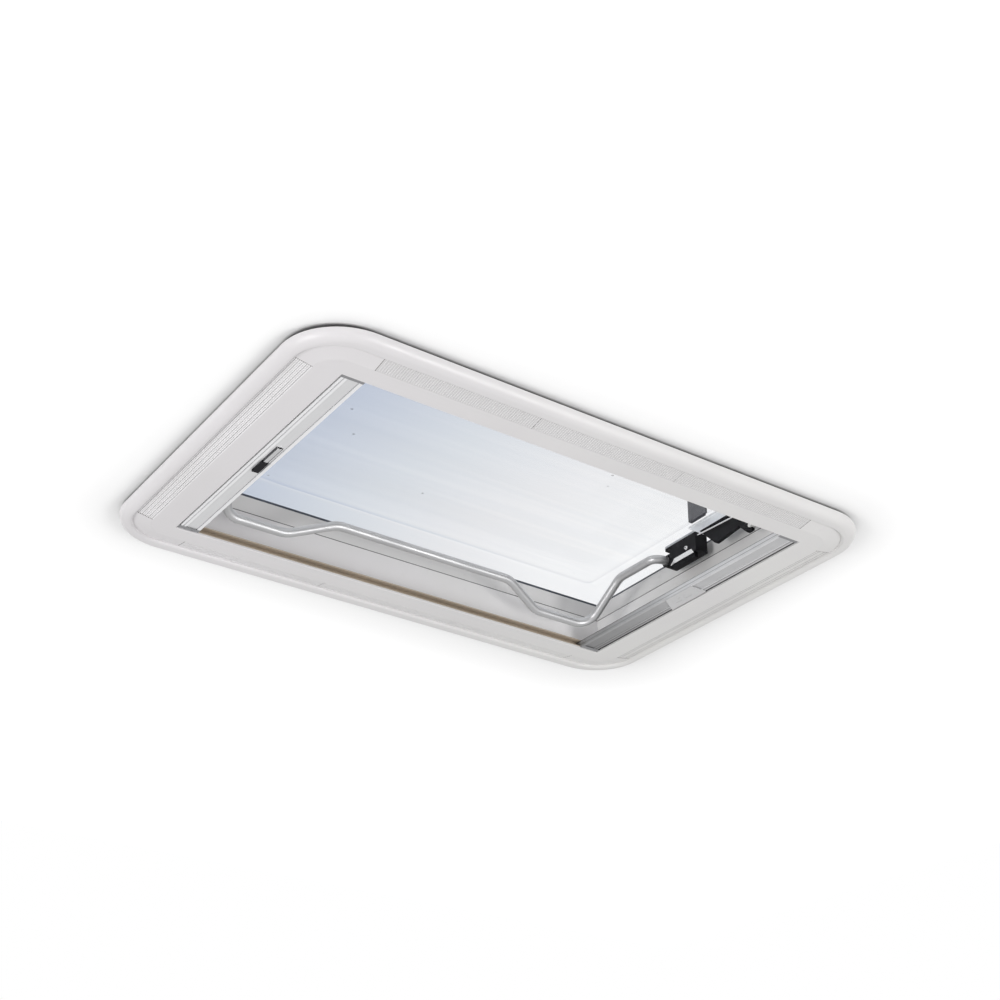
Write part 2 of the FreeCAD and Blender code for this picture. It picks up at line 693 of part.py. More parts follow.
# Hinges on the near side: barrels on the flange, ears with a pin on the lid's skirt
for name, sign in (("left", "-1"), ("right", "1")):
    barrel = new_body(f"frame_hinge_{name}")
    sketch = new_sketch(barrel, "YZ_Plane", f"{sign} * hinge_span")
    box_loop(
        sketch, "hinge_y - barrel_radius", "hinge_y + barrel_radius",
        "flange_level + flange_thick", "hinge_level",
    )
    pad(barrel, sketch, "barrel_long", True)
    sketch = new_sketch(barrel, "YZ_Plane", f"{sign} * hinge_span")
    circle_loop(sketch, "hinge_y", "hinge_level", "barrel_radius")
    pad(barrel, sketch, "barrel_long", True)
    sketch = new_sketch(barrel, "YZ_Plane", f"{sign} * hinge_span + barrel_long")
    circle_loop(sketch, "hinge_y", "hinge_level", "pin_radius + pin_play")
    pocket(barrel, sketch, "2 * barrel_long")

    ears = new_body(f"lid_hinge_{name}")
    for end in ("-1", "1"):
        middle = f"{sign} * hinge_span + {end} * (barrel_long / 2 + ear_play + ear_thick / 2)"
        sketch = new_sketch(ears, "YZ_Plane", middle)
        box_loop(
            sketch, "hinge_y", "-lid_width / 2",
            "hinge_level - barrel_radius", "hinge_level + barrel_radius",
        )
        pad(ears, sketch, "ear_thick", True)
        sketch = new_sketch(ears, "YZ_Plane", middle)
        circle_loop(sketch, "hinge_y", "hinge_level", "barrel_radius")
        pad(ears, sketch, "ear_thick", True)
        sketch = new_sketch(ears, "YZ_Plane", f"{sign} * hinge_span")
        circle_loop(sketch, "hinge_y", "hinge_level", "pin_radius")
        pad(ears, sketch, "barrel_long + 2 * ear_play + ear_thick", True)

# Under the lid, on each short side: a flat rail against the pane, narrower over the bow block
rail = new_body("lid_rail_right")
sketch = new_sketch(rail, "XY_Plane", "block_top")
corner_loop(sketch, [
    ("lid_rail_inner", "-lid_rail_near"), ("lid_rail_outer", "-lid_rail_near"),
    ("lid_rail_outer", "lid_rail_far"), ("block_inner", "lid_rail_far"),
    ("block_inner", "-block_near"), ("lid_rail_inner", "-block_near"),
])
pad(rail, sketch, "lid_rail_sheet")

# Upright bracket with a foot between the two panes
bracket = new_body("pane_bracket_right")
sketch = new_sketch(bracket, "XY_Plane", "pane_level + pane_thick")
box_loop(sketch, "bracket_inner", "bracket_inner + bracket_sheet", "-bracket_near", "-bracket_far")
pad(bracket, sketch, "crown_level - 2 * pane_thick - pane_level")
sketch = new_sketch(bracket, "XY_Plane", "pane_level + pane_thick")
box_loop(
    sketch, "bracket_inner", "bracket_inner + bracket_foot", "-bracket_near + bracket_foot", "-bracket_far",
)
pad(bracket, sketch, "bracket_foot_high")

# Bow block under the rail: body with a prong, bearing boss and jaw
bow_block = new_body("bow_block_right")
sketch = new_sketch(bow_block, "YZ_Plane", "block_inner")
prong_bottom = "block_top - prong_thick"
corner_loop(sketch, [
    ("-block_near", "block_top"), ("-block_near", "block_bottom"), ("block_far", "block_bottom"),
    ("block_far", prong_bottom), ("block_far + prong_long", prong_bottom),
    ("block_far + prong_long", "block_top"),
])
pad(bow_block, sketch, "block_wide")
sketch = new_sketch(bow_block, "YZ_Plane", "block_inner")
box_loop(
    sketch, "block_far", "bow_pivot_y", "bow_pivot_z - boss_radius", "bow_pivot_z + boss_radius",
)
pad(bow_block, sketch, "block_wide")
sketch = new_sketch(bow_block, "YZ_Plane", "block_inner")
circle_loop(sketch, "bow_pivot_y", "bow_pivot_z", "boss_radius")
pad(bow_block, sketch, "block_wide")
sketch = new_sketch(bow_block, "YZ_Plane", "block_inner + jaw_inset")
box_loop(sketch, "-jaw_near", "jaw_far", "block_bottom - jaw_high", "block_bottom")
pad(bow_block, sketch, "jaw_wide")
sketch = new_sketch(bow_block, "YZ_Plane", "block_inner")
circle_loop(sketch, "bow_pivot_y", "bow_pivot_z", "bow_radius + bow_play")
pocket(bow_block, sketch, "bow_seat + bow_play", True)

# Bright spring strip along the block's lower edge, with slanted ends
strip = new_body("spring_strip_right")
sketch = new_sketch(strip, "YZ_Plane", "block_inner - strip_metal")
low = "block_bottom - strip_low"
corner_loop(sketch, [
    ("-block_near + strip_low", low), ("jaw_far", low), ("jaw_far - strip_slant", f"{low} + strip_high"),
    ("-block_near + strip_slant", f"{low} + strip_high"),
])
pad(strip, sketch, "strip_metal")

# Lever hanging from the rail beside the block, with a rounded nose
lever = new_body("latch_lever_right")
sketch = new_sketch(lever, "YZ_Plane", "lever_inner")
corner_loop(sketch, [
    ("-lever_far", "block_top"), ("-lever_nose", "block_top - lever_nose_drop"),
    ("-lever_near", "block_top - lever_near_drop"), ("-lever_root", "block_top"),
])
pad(lever, sketch, "lever_wide")
fillet(lever, "lever_nose_round", at_level("block_top - lever_nose_drop"))


def lever_edge(y):
    """Height of the lever's lower edge at a distance towards the near side."""
    share = f"({y} - lever_nose) / (lever_near - lever_nose)"
    return f"block_top - lever_nose_drop + {share} * (lever_nose_drop - lever_near_drop)"


# Hook under the lever's near end
hook = new_body("lever_hook_right")
sketch = new_sketch(hook, "YZ_Plane", "lever_inner")
corner_loop(sketch, [
    ("-hook_far", lever_edge("hook_far")), ("-hook_bend", "block_top - hook_bend_drop"),
    ("-hook_heel", "block_top - hook_heel_drop"), ("-hook_tip", "block_top - hook_tip_drop"),
    ("-hook_tip", "block_top - hook_tip_drop + hook_tip_high"),
    ("-hook_inner", "block_top - hook_inner_drop"),
    ("-hook_throat", lever_edge("hook_throat")),
])
pad(hook, sketch, "hook_wide")

for source in (rail, bracket, bow_block, strip, lever, hook):
    mirrored(source, source.Label.replace("_right", "_left"))


def bent_wire(corners):
    """Path of straight runs joined by tangent arcs; each corner is a point and its bend radius."""
    spots = [Vector(*place) for place, _ in corners]
    edges = []
    start = spots[0]
    for before, (_, radius), here, after in zip(spots, corners[1:-1], spots[1:-1], spots[2:]):
        back = (before - here).normalize()
        ahead = (after - here).normalize()
        half_turn = (math.pi - back.getAngle(ahead)) / 2
        run = radius * math.tan(half_turn)
        first = here + back * run
        last = here + ahead * run
        inward = (back + ahead).normalize()
        middle = here + inward * (radius / math.cos(half_turn) - radius)
        edges.append(Part.LineSegment(start, first).toShape())
        edges.append(Part.Arc(first, middle, last).toShape())
        start = last
    edges.append(Part.LineSegment(start, spots[-1]).toShape())
    return Part.Wire(edges)


# Bow: one bent tube from pivot to pivot, hanging below the glazing
half_bow = [
    (("bow_end", "bow_pivot_y", "bow_pivot_z"), "0"),
    (("bow_arm", "bow_pivot_y", "bow_pivot_z"), "bow_end_bend"),
    (("bow_arm", "bow_shoulder_y", "bow_shoulder_z"), "bow_shoulder_bend"),
    (("bow_arm", "bow_low_y", "bow_low_z"), "bow_corner_bend"),
    (("bow_elbow", "bow_low_y", "bow_low_z"), "bow_grip_bend"),
    (("bow_grip", "bow_grip_y", "bow_grip_z"), "bow_grip_bend"),
]
half_bow = [(tuple(size(text) for text in place), size(bend)) for place, bend in half_bow]
other_half = [((-x, y, z), bend) for (x, y, z), bend in reversed(half_bow)]
path = bent_wire(half_bow + other_half)
section = Part.Wire(Part.makeCircle(size("bow_radius"), Vector(*half_bow[0][0]), Vector(-1, 0, 0)))
bow = doc.addObject("Part::Feature", "bow_tube")
bow.Shape = path.makePipeShell([section], True, False)
keep(bow, "bow_tube")

doc.recompute()
for item in doc.Objects:
    if "Invalid" in item.State or "Error" in item.State:
        raise RuntimeError(f"{item.Label} failed: {item.State}")
for node in nodes:
    if node.Shape.isNull() or not node.Shape.isValid() or not node.Shape.Solids:
        raise RuntimeError(f"{node.Label} has no valid solid")
os.makedirs("parts", exist_ok=True)
for node in nodes:
    node.Shape.exportStep(f"parts/{node.Label}.step")
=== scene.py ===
import json
import math
import bmesh
import bpy
from mathutils import Matrix, Vector


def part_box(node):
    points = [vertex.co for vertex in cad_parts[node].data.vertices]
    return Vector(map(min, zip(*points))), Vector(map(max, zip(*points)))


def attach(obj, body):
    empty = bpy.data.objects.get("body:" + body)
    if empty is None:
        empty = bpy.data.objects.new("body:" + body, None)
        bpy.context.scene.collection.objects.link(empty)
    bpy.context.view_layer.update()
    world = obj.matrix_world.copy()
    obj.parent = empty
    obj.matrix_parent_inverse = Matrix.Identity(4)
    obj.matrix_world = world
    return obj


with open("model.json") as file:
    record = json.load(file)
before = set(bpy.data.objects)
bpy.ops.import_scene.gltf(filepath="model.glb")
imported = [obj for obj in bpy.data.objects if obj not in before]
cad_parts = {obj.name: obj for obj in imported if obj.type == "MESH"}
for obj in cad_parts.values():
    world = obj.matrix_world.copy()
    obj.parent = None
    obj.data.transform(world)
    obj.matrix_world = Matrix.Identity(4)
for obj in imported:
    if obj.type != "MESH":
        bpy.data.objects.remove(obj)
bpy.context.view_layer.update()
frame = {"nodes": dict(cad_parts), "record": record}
nodes = frame["nodes"]
slots = {entry["node"]: entry["material_slot"] for entry in frame["record"]["subparts"]}
scene = bpy.context.scene
scene.view_settings.view_transform = "Standard"

# Metres, in the rooflight's own frame: +X to the flyscreen's end, +Y to the opening side, +Z up
MM = 0.001
HALF_LENGTH = 0.392
WHITE = (1.0, 1.0, 1.0, 1.0)


# Node helpers

FLOAT = "NodeSocketFloat"
COLOUR = "NodeSocketColor"
VECTOR = "NodeSocketVector"
# Sockets of a colour mix
MIX_SHARE = 0
MIX_FIRST = 6
MIX_SECOND = 7
MIX_RESULT = 2


def add(tree, kind, **settings):
    """New node; settings name its attributes, or its inputs where the name starts with a capital."""
    node = tree.nodes.new(kind)
    for name, value in settings.items():
        if name[0].isupper():
            node.inputs[name.replace("_", " ")].default_value = value
        else:
            setattr(node, name, value)
    return node


def feed(tree, socket, value):
    """Give an input a number, a vector, a plain colour or the output of another node."""
    if isinstance(value, bpy.types.NodeSocket):
        tree.links.new(value, socket)
    elif socket.type == "RGBA":
        socket.default_value = (*value, 1.0)
    else:
        socket.default_value = value


def object_place(tree):
    """Place on the rooflight, in its own frame."""
    return add(tree, "ShaderNodeTexCoord").outputs["Object"]


def axis_of(tree, vector, axis):
    """One axis of a vector."""
    node = add(tree, "ShaderNodeSeparateXYZ")
    tree.links.new(vector, node.inputs[0])
    return node.outputs[axis]


def math_node(tree, operation, first, second=None, clamp=False):
    """Math on one or two sockets or numbers."""
    node = add(tree, "ShaderNodeMath", operation=operation, use_clamp=clamp)
    feed(tree, node.inputs[0], first)
    if second is not None:
        feed(tree, node.inputs[1], second)
    return node.outputs[0]


def remap(tree, value, source, target=(0.0, 1.0)):
    """Value taken from one range to another, held inside it."""
    node = add(
        tree, "ShaderNodeMapRange", clamp=True,
        From_Min=source[0], From_Max=source[1], To_Min=target[0], To_Max=target[1],
    )
    tree.links.new(value, node.inputs["Value"])
    return node.outputs["Result"]


def mix_colour(tree, share, first, second, blend="MIX"):
    """Mix of two colours, each a socket or a plain colour."""
    node = add(tree, "ShaderNodeMix", data_type="RGBA", blend_type=blend)
    feed(tree, node.inputs[MIX_SHARE], share)
    feed(tree, node.inputs[MIX_FIRST], first)
    feed(tree, node.inputs[MIX_SECOND], second)
    return node.outputs[MIX_RESULT]


def mix_shader(tree, share, first, second):
    """Mix of two shaders by a socket or a number."""
    node = add(tree, "ShaderNodeMixShader")
    for socket, value in zip(node.inputs, (share, first, second)):
        feed(tree, socket, value)
    return node.outputs[0]


def ramp(tree, share, stops, blend):
    """Colours over a share from 0 to 1; stops are places with their colours, the first at 0."""
    node = add(tree, "ShaderNodeValToRGB")
    node.color_ramp.interpolation = blend
    tree.links.new(share, node.inputs[0])
    elements = node.color_ramp.elements
    elements[1].position = stops[-1][0]
    for place, _ in stops[1:-1]:
        elements.new(place)
    for element, (_, colour) in zip(elements, stops):
        element.color = (*colour, 1.0)
    return node.outputs[0]


def noise(tree, place, scale, detail=2.0, roughness=0.5):
    """Noise over a place, from 0 to 1."""
    node = add(tree, "ShaderNodeTexNoise", Scale=scale, Detail=detail, Roughness=roughness)
    tree.links.new(place, node.inputs["Vector"])
    return node.outputs["Fac"]


def bump(tree, height, depth):
    """Normal from a height and its depth in metres."""
    node = add(tree, "ShaderNodeBump", Strength=1.0)
    tree.links.new(height, node.inputs["Height"])
    tree.links.new(depth, node.inputs["Distance"])
    return node.outputs["Normal"]


def surface_group(name, inputs):
    """Empty shader group with typed inputs, for a colour, a change of roughness and a normal."""
    tree = bpy.data.node_groups.new(name, "ShaderNodeTree")
    for socket_name, kind in inputs:
        tree.interface.new_socket(socket_name, in_out="INPUT", socket_type=kind)
    for socket_name, kind in (("Colour", COLOUR), ("Rough", FLOAT), ("Normal", VECTOR)):
        tree.interface.new_socket(socket_name, in_out="OUTPUT", socket_type=kind)
    return tree, add(tree, "NodeGroupInput"), add(tree, "NodeGroupOutput")


# Surfaces

GRAIN_SCALE = 900.0
UNEVEN_SCALE = 5.0
MARK_SCALE = 60.0
LINE_SCALE = 700.0
PATCH_SCALE = 18.0
CLOUD_SCALE = 40.0
CLOUD_TONE = 0.9
GLOW_SHARE = 0.9
# Depths of the grain
GRAIN_DEPTH = 0.02 * MM
BOW_DEPTH = 0.01 * MM
SMOOTH_DEPTH = 0.002 * MM
CLOTH_DEPTH = 0.2 * MM
# Stretch of the lines on drawn metal
ALONG_X = (0.03, 1.0, 1.0)
ALONG_Y = (1.0, 0.03, 1.0)


def moulded_group():
    """Moulded plastic: fine grain, uneven tone, handling marks and a colour that changes towards the right
    end; that change is a slight tint and painted light, the right end paler as if lit more.
    """
    tree, given, result = surface_group(
        "moulded_plastic",
        [("Colour", COLOUR), ("Right Tint And Light", COLOUR), ("Marked", COLOUR), ("Depth", FLOAT), ("Mottle", FLOAT)],
    )
    place = object_place(tree)
    grain = noise(tree, place, GRAIN_SCALE, detail=3.0)
    slow = noise(tree, place, UNEVEN_SCALE, detail=3.0, roughness=0.55)
    marks = noise(tree, place, MARK_SCALE, detail=6.0, roughness=0.65)
    uneven = math_node(tree, "MULTIPLY", remap(tree, slow, (0.35, 0.65)), given.outputs["Mottle"])
    rubbed = remap(tree, marks, (0.58, 0.75), (0.0, 0.35))
    share = math_node(tree, "ADD", uneven, rubbed, clamp=True)
    # Share towards the right end, where the tint and painted light take over
    rightward_share = remap(tree, axis_of(tree, place, "X"), (-HALF_LENGTH, HALF_LENGTH))
    plain = mix_colour(tree, rightward_share, given.outputs["Colour"], given.outputs["Right Tint And Light"])
    colour = mix_colour(tree, share, plain, given.outputs["Marked"])
    tree.links.new(colour, result.inputs["Colour"])
    tree.links.new(remap(tree, marks, (0.35, 0.7), (-0.04, 0.06)), result.inputs["Rough"])
    tree.links.new(bump(tree, grain, given.outputs["Depth"]), result.inputs["Normal"])
    return tree


def drawn_group():
    """Drawn or rolled metal: fine lines along one direction, given as a stretch of the pattern."""
    tree, given, result = surface_group(
        "drawn_metal",
        [("Colour", COLOUR), ("Marked", COLOUR), ("Stretch", VECTOR), ("Depth", FLOAT)],
    )
    place = object_place(tree)
    stretched = add(tree, "ShaderNodeVectorMath", operation="MULTIPLY")
    tree.links.new(place, stretched.inputs[0])
    tree.links.new(given.outputs["Stretch"], stretched.inputs[1])
    lines = noise(tree, stretched.outputs[0], LINE_SCALE, detail=4.0, roughness=0.6)
    patches = noise(tree, place, PATCH_SCALE, detail=3.0, roughness=0.6)
    lined = remap(tree, lines, (0.3, 0.7), (0.0, 0.5))
    dulled = remap(tree, patches, (0.45, 0.7), (0.0, 0.4))
    share = math_node(tree, "ADD", lined, dulled, clamp=True)
    colour = mix_colour(tree, share, given.outputs["Colour"], given.outputs["Marked"])
    tree.links.new(colour, result.inputs["Colour"])
    tree.links.new(remap(tree, patches, (0.3, 0.7), (-0.05, 0.08)), result.inputs["Rough"])
    tree.links.new(bump(tree, lines, given.outputs["Depth"]), result.inputs["Normal"])
    return tree


MOULDED = moulded_group()
DRAWN = drawn_group()


def new_material(name):
    material = bpy.data.materials.new(name)
    material.use_nodes = True
    return material, material.node_tree, material.node_tree.nodes["Principled BSDF"]


def show(tree, shader):
    """Make a shader the material's surface."""
    tree.links.new(shader, tree.nodes["Material Output"].inputs["Surface"])


def dress(name, group, settings, rough, metallic=0.0, specular=0.5):
    """Material whose colour, roughness and normal come from one of the groups."""
    material, tree, shader = new_material(name)
    surface = add(tree, "ShaderNodeGroup", node_tree=group)
    for socket, value in settings.items():
        feed(tree, surface.inputs[socket], value)
    roughness = math_node(tree, "ADD", surface.outputs["Rough"], rough, clamp=True)
    tree.links.new(surface.outputs["Colour"], shader.inputs["Base Color"])
    tree.links.new(roughness, shader.inputs["Roughness"])
    tree.links.new(surface.outputs["Normal"], shader.inputs["Normal"])
    shader.inputs["Metallic"].default_value = metallic
    shader.inputs["Specular IOR Level"].default_value = specular
    return material


def plastic(name, colour, marked, rough, mottle=0.5, depth=GRAIN_DEPTH, specular=0.5, right_tint_and_light=None):
    """Moulded plastic, with its colour at the right end where that differs: a slight tint and painted light,
    paler as if that end were lit more.
    """
    settings = {
        "Colour": colour, "Right Tint And Light": right_tint_and_light or colour, "Marked": marked, "Mottle": mottle, "Depth": depth,
    }
    return dress(name, MOULDED, settings, rough, specular=specular)


def metal(name, colour, marked, rough, stretch, depth=GRAIN_DEPTH, bare=1.0):
    """Drawn metal; bare is how much of it isn't dulled by its anodised skin."""
    settings = {"Colour": colour, "Marked": marked, "Stretch": stretch, "Depth": depth}
    return dress(name, DRAWN, settings, rough, metallic=bare)


GLASS_CLEAR = (0.964, 0.971, 0.980)
# Paler tone of long streaks across the panes: painted reflection of bright light
GLASS_STREAK_GLEAM = (0.990, 0.992, 0.995)
GLASS_SPECK = (0.35, 0.35, 0.35)
GLASS_OPEN = (0.96, 0.97, 0.98, 1.0)
GLASS_IOR = 1.1
# Turn, stretch and scale of the painted reflection streaks
STREAK_TURN = math.radians(4)
STREAK_STRETCH = (0.35, 22.0, 1.0)
STREAK_SCALE = 6.0
SPECK_SCALE = 12.0


def glazing_material():
    """Clear acrylic with faint streaks of painted reflection and specks, open to light that isn't seen
    directly.
    """
    material, tree, shader = new_material("glazing")
    place = object_place(tree)
    # Long streaks of painted reflection
    streak_place = add(tree, "ShaderNodeMapping", Rotation=(0.0, 0.0, STREAK_TURN), Scale=STREAK_STRETCH)
    tree.links.new(place, streak_place.inputs["Vector"])
    painted_streaks = remap(tree, noise(tree, streak_place.outputs["Vector"], STREAK_SCALE), (0.48, 0.68))
    specks = add(tree, "ShaderNodeTexVoronoi", Scale=SPECK_SCALE)
    tree.links.new(place, specks.inputs["Vector"])
    dirt = remap(tree, specks.outputs["Distance"], (0.015, 0.03), (1.0, 0.0))
    colour = mix_colour(tree, painted_streaks, GLASS_CLEAR, GLASS_STREAK_GLEAM)
    tree.links.new(mix_colour(tree, dirt, colour, GLASS_SPECK), shader.inputs["Base Color"])
    shader.inputs["Transmission Weight"].default_value = 1.0
    shader.inputs["Roughness"].default_value = 0.0
    shader.inputs["IOR"].default_value = GLASS_IOR
    open_way = add(tree, "ShaderNodeBsdfTransparent", Color=GLASS_OPEN)
    path = add(tree, "ShaderNodeLightPath")
    unseen = math_node(tree, "MAXIMUM", path.outputs["Is Shadow Ray"], path.outputs["Is Diffuse Ray"])
    show(tree, mix_shader(tree, unseen, shader.outputs[0], open_way.outputs[0]))
    return material


def painted_light_bands(tree, axis, start, stop, bands, blend="CONSTANT"):
    """Painted light and shade in bands by the place along an axis; along X both ends of the rooflight count
    alike.
    """
    spot = axis_of(tree, object_place(tree), axis)
    if axis == "X":
        spot = math_node(tree, "ABSOLUTE", spot)
    stops = [(edge, (tone, tone, tone)) for edge, tone in bands]
    return ramp(tree, remap(tree, spot, (start, stop)), stops, blend)


def tinted(material, colour):
    """Multiply a finish's colour by another colour output of its own tree."""
    tree = material.node_tree
    shader = tree.nodes["Principled BSDF"]
    plain = shader.inputs["Base Color"].links[0].from_socket
    tree.links.new(mix_colour(tree, 1.0, plain, colour, "MULTIPLY"), shader.inputs["Base Color"])
    return material


RAIL_ROUGH = 0.34
RAIL_BARE = 0.3
# Painted light and shade across a pull rail from its inner edge outwards, by share of its width: dark in its
# groove, paler than its finish as painted highlights on its ribs and lip
BLIND_PAINTED_LIGHT = [(0.0, 1.1), (0.14, 0.5), (0.17, 0.88), (0.62, 1.12), (0.74, 0.85), (0.77, 1.15)]
SCREEN_PAINTED_LIGHT = [
    (0.0, 1.2), (0.02, 1.15), (0.13, 0.5), (0.17, 0.92), (0.62, 1.1), (0.74, 0.55), (0.77, 1.0), (0.89, 0.6),
]
# Painted shade lines up a pull rail's inner side, by share of its height
SIDE_PAINTED_SHADE = [(0.0, 1.0), (0.3, 0.55), (0.42, 1.0), (0.85, 0.5)]
# Painted shade along the flyscreen's rail, darker from its near end to its far end, by share of its length
SCREEN_PAINTED_SHADE_ALONG = [(0.0, 1.0), (0.5, 0.95), (0.62, 0.70), (1.0, 0.38)]


def painted_light_rail(name, colour, marked, bands, along=None):
    """Extruded pull rail: painted light and shade show its ribs, flat, groove and lip as bands, and painted
    shade lines run along its inner side.
    """
    low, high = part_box("screen_rail")
    material = metal(name, colour, marked, RAIL_ROUGH, ALONG_Y, bare=RAIL_BARE)
    tree = material.node_tree
    tinted(material, painted_light_bands(tree, "X", low.x, high.x, bands))
    # Painted shade along the rail's length, where given
    if along:
        tinted(material, painted_light_bands(tree, "Y", low.y, high.y, along, "LINEAR"))
    return tinted(material, painted_light_bands(tree, "Z", low.z, high.z, SIDE_PAINTED_SHADE))


# Notches of the short vent strips: painted shade
RIBS = 10
RIB_PAINTED_SHADE = 0.62
RIB_FAINT_SHADE = 0.92


def ribbed_strip(name):
    """Short vent strip: painted shade in the notches between its ribs, deep in every other notch and faint in
    the rest; its right end a touch paler and warmer, a slight tint and painted light.
    """
    low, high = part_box("vent_strip_right")
    material = plastic(
        name, (0.86, 0.845, 0.86), (0.80, 0.79, 0.79), rough=0.6, mottle=0.6, depth=SMOOTH_DEPTH,
        specular=0.3, right_tint_and_light=(0.87, 0.865, 0.85),
    )
    tones = [1.0, RIB_PAINTED_SHADE, 1.0, RIB_FAINT_SHADE] * (RIBS // 2)
    bands = [(step / len(tones), tone) for step, tone in enumerate(tones)]
    return tinted(material, painted_light_bands(material.node_tree, "X", low.x, high.x, bands))


def glowing_plastic(name, colour):
    """White plastic that lets daylight through, with faint clouding."""
    material, tree, shader = new_material(name)
    clouds = noise(tree, object_place(tree), CLOUD_SCALE, detail=3.0)
    cloudy = tuple(CLOUD_TONE * part for part in colour)
    tone = mix_colour(tree, remap(tree, clouds, (0.4, 0.65), (0.0, 0.4)), colour, cloudy)
    glow = add(tree, "ShaderNodeBsdfTranslucent")
    tree.links.new(tone, shader.inputs["Base Color"])
    tree.links.new(tone, glow.inputs["Color"])
    show(tree, mix_shader(tree, GLOW_SHARE, shader.outputs[0], glow.outputs[0]))
    return material


PLASTICS = {
    # Trim a touch paler and warmer at the right end: a slight tint and painted light
    "trim_white": {
        "colour": (0.73, 0.71, 0.725), "marked": (0.69, 0.675, 0.68), "rough": 0.34, "mottle": 0.6,
        "right_tint_and_light": (0.74, 0.735, 0.72),
    },
    # Strips a touch paler and warmer at the right end: a slight tint and painted light
    "strip_white": {
        "colour": (0.76, 0.745, 0.76), "marked": (0.70, 0.69, 0.69), "rough": 0.45, "mottle": 0.6,
        "right_tint_and_light": (0.77, 0.765, 0.75),
    },
    # Lining much paler towards the right end: painted light on the shaft's right wall
    "lining_grey": {
        "colour": (0.65, 0.625, 0.64), "marked": (0.75, 0.735, 0.72), "rough": 0.42,
        "right_tint_and_light": (0.97, 0.955, 0.95),
    },
    # Roof frame paler towards the right end: painted light on the shaft's right wall
    "frame_white": {
        "colour": (0.62, 0.605, 0.60), "marked": (0.60, 0.59, 0.58), "rough": 0.42, "mottle": 0.4,
        "right_tint_and_light": (0.86, 0.845, 0.84),
    },
    "comb_bed_white": {
        "colour": (0.64, 0.63, 0.635), "marked": (0.59, 0.58, 0.58), "rough": 0.6,
        "depth": SMOOTH_DEPTH, "specular": 0.3,
    },
    "latch_black": {
        "colour": (0.007, 0.007, 0.009), "marked": (0.012, 0.012, 0.014), "rough": 0.42, "mottle": 0.8,
        "specular": 0.12,
    },
    "blind_cloth": {
        "colour": (0.55, 0.55, 0.53), "marked": (0.45, 0.45, 0.43), "rough": 0.8, "mottle": 0.7,
        "depth": CLOTH_DEPTH,
    },
    "screen_mesh": {
        "colour": (0.05, 0.05, 0.05), "marked": (0.09, 0.09, 0.09), "rough": 0.8, "mottle": 0.7,
        "depth": CLOTH_DEPTH,
    },
    "guide_taupe": {
        "colour": (0.52, 0.44, 0.35), "marked": (0.44, 0.37, 0.29), "rough": 0.55, "mottle": 0.8,
    },
    "catch_grey": {
        "colour": (0.62, 0.62, 0.625), "marked": (0.54, 0.54, 0.545), "rough": 0.4, "mottle": 0.6,
    },
    "seal_rubber": {"colour": (0.055, 0.065, 0.09), "marked": (0.08, 0.085, 0.1), "rough": 0.5},
    "bracket_grey": {"colour": (0.13, 0.13, 0.14), "marked": (0.10, 0.10, 0.11), "rough": 0.22},
    "pin_white": {"colour": (0.80, 0.80, 0.78), "marked": (0.70, 0.70, 0.68), "rough": 0.4},
    "seam_brown": {"colour": (0.06, 0.05, 0.04), "marked": (0.05, 0.04, 0.03), "rough": 0.7},
    "shoe_grey": {"colour": (0.26, 0.26, 0.27), "marked": (0.20, 0.20, 0.21), "rough": 0.3},
    # Dark grey of the bars in the lining joint: painted shadow
    "joint_shadow_grey": {"colour": (0.14, 0.135, 0.135), "marked": (0.10, 0.10, 0.10), "rough": 0.6},
    "slot_dark": {"colour": (0.05, 0.05, 0.055), "marked": (0.08, 0.08, 0.085), "rough": 0.5},
}
METALS = {
    "clamp_steel": {
        "colour": (0.90, 0.90, 0.89), "marked": (0.74, 0.74, 0.73), "rough": 0.2, "stretch": ALONG_Y,
    },
    "rail_aluminium": {
        "colour": (0.88, 0.88, 0.89), "marked": (0.78, 0.78, 0.795), "rough": 0.32, "stretch": ALONG_Y,
    },
    "bright_screw": {
        "colour": (0.92, 0.92, 0.92), "marked": (0.78, 0.78, 0.78), "rough": 0.12, "stretch": ALONG_Y,
    },
    "bow_aluminium": {
        "colour": (0.62, 0.62, 0.625), "marked": (0.52, 0.52, 0.53), "rough": 0.40, "stretch": ALONG_X,
        "depth": BOW_DEPTH, "bare": 0.85,
    },
}
finishes = {name: plastic(name, **look) for name, look in PLASTICS.items()}
finishes.update({name: metal(name, **look) for name, look in METALS.items()})
finishes["glazing"] = glazing_material()

# Pieces whose finish differs from the rest of their slot
special_finishes = {
    "vent_strip_near": finishes["comb_bed_white"],
    "blind_rail": painted_light_rail("blind_rail_metal", (0.86, 0.86, 0.87), (0.80, 0.80, 0.81), BLIND_PAINTED_LIGHT),
    # Flyscreen rail darker than the blind rail, and darker still towards its far end: painted shade
    "screen_rail": painted_light_rail(
        "screen_rail_metal", (0.66, 0.66, 0.67), (0.56, 0.56, 0.57), SCREEN_PAINTED_LIGHT, SCREEN_PAINTED_SHADE_ALONG
    ),
}
PAIRS = {
    "lid_rail": glowing_plastic("lid_rail_white", (0.98, 0.98, 0.98)),
    "pane_bracket": finishes["bracket_grey"],
    "vent_strip": ribbed_strip("ribbed_strip_white"),
}
for kind, finish in PAIRS.items():
    for side in ("left", "right"):
        special_finishes[f"{kind}_{side}"] = finish
for name, node in nodes.items():
    node.data.materials.clear()
    node.data.materials.append(special_finishes.get(name, finishes[slots[name]]))


# Small fittings, in millimetres


def keep_piece(name, mesh, body):
    """Put a mesh into the scene as a piece that rides on a body."""
    piece = bpy.data.objects.new(name, mesh)
    scene.collection.objects.link(piece)
    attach(piece, body)


